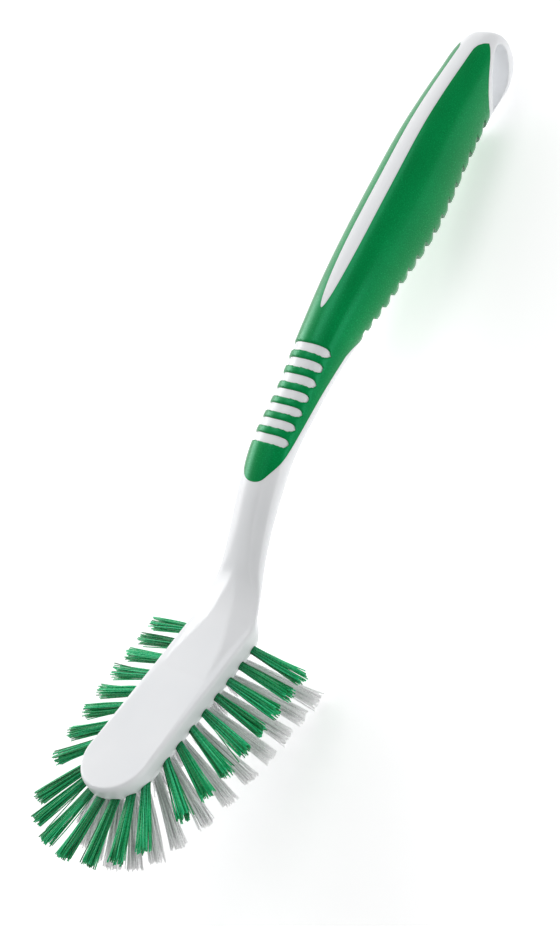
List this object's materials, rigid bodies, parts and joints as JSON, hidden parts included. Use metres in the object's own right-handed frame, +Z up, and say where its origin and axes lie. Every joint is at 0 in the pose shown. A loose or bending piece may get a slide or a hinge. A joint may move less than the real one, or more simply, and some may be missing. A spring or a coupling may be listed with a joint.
{
  "type": "kitchen brush",
  "caption": "Long-handled dish brush with a round-nosed flat head, splayed bristle tufts, an angled neck, a soft ribbed grip and a hanging loop.",
  "frame": {"origin": "middle of the bounding box in plan, at the height of the surface that the brush lies on", "axes": "+X along the brush from the head to the handle's end, +Y across it towards the side that faces away from the camera in the picture, +Z up"},
  "size_m": [0.2782, 0.0622, 0.0492],
  "materials": {
    "white_plastic": "smooth moulded, satin gloss",
    "soft_grip": "soft-touch satin",
    "green_bristle": "drawn filament",
    "clear_bristle": "drawn filament, slightly see-through"
  },
  "bodies": {
    "root": {"centre_tuft_01": "clear_bristle", "centre_tuft_02": "clear_bristle", "centre_tuft_03": "clear_bristle", "centre_tuft_04": "clear_bristle", "centre_tuft_05": "clear_bristle", "centre_tuft_06": "clear_bristle", "grip": "soft_grip", "handle_core": "white_plastic", "outer_tuft_front": "green_bristle", "outer_tuft_left_01": "green_bristle", "outer_tuft_left_02": "green_bristle", "outer_tuft_left_03": "green_bristle", "outer_tuft_left_04": "green_bristle", "outer_tuft_left_05": "green_bristle", "outer_tuft_left_06": "green_bristle", "outer_tuft_left_07": "green_bristle", "outer_tuft_left_08": "green_bristle", "outer_tuft_left_09": "green_bristle", "outer_tuft_left_10": "green_bristle", "outer_tuft_left_11": "green_bristle", "outer_tuft_right_01": "green_bristle", "outer_tuft_right_02": "green_bristle", "outer_tuft_right_03": "green_bristle", "outer_tuft_right_04": "green_bristle", "outer_tuft_right_05": "green_bristle", "outer_tuft_right_06": "green_bristle", "outer_tuft_right_07": "green_bristle", "outer_tuft_right_08": "green_bristle", "outer_tuft_right_09": "green_bristle", "outer_tuft_right_10": "green_bristle", "outer_tuft_right_11": "green_bristle", "second_tuft_left_01": "clear_bristle", "second_tuft_left_02": "clear_bristle", "second_tuft_left_03": "clear_bristle", "second_tuft_left_04": "clear_bristle", "second_tuft_left_05": "clear_bristle", "second_tuft_left_06": "clear_bristle", "second_tuft_left_07": "clear_bristle", "second_tuft_left_08": "clear_bristle", "second_tuft_left_09": "clear_bristle", "second_tuft_left_10": "clear_bristle", "second_tuft_left_11": "clear_bristle", "second_tuft_right_01": "clear_bristle", "second_tuft_right_02": "clear_bristle", "second_tuft_right_03": "clear_bristle", "second_tuft_right_04": "clear_bristle", "second_tuft_right_05": "clear_bristle", "second_tuft_right_06": "clear_bristle", "second_tuft_right_07": "clear_bristle", "second_tuft_right_08": "clear_bristle", "second_tuft_right_09": "clear_bristle", "second_tuft_right_10": "clear_bristle", "second_tuft_right_11": "clear_bristle"}
  },
  "joints": []
}
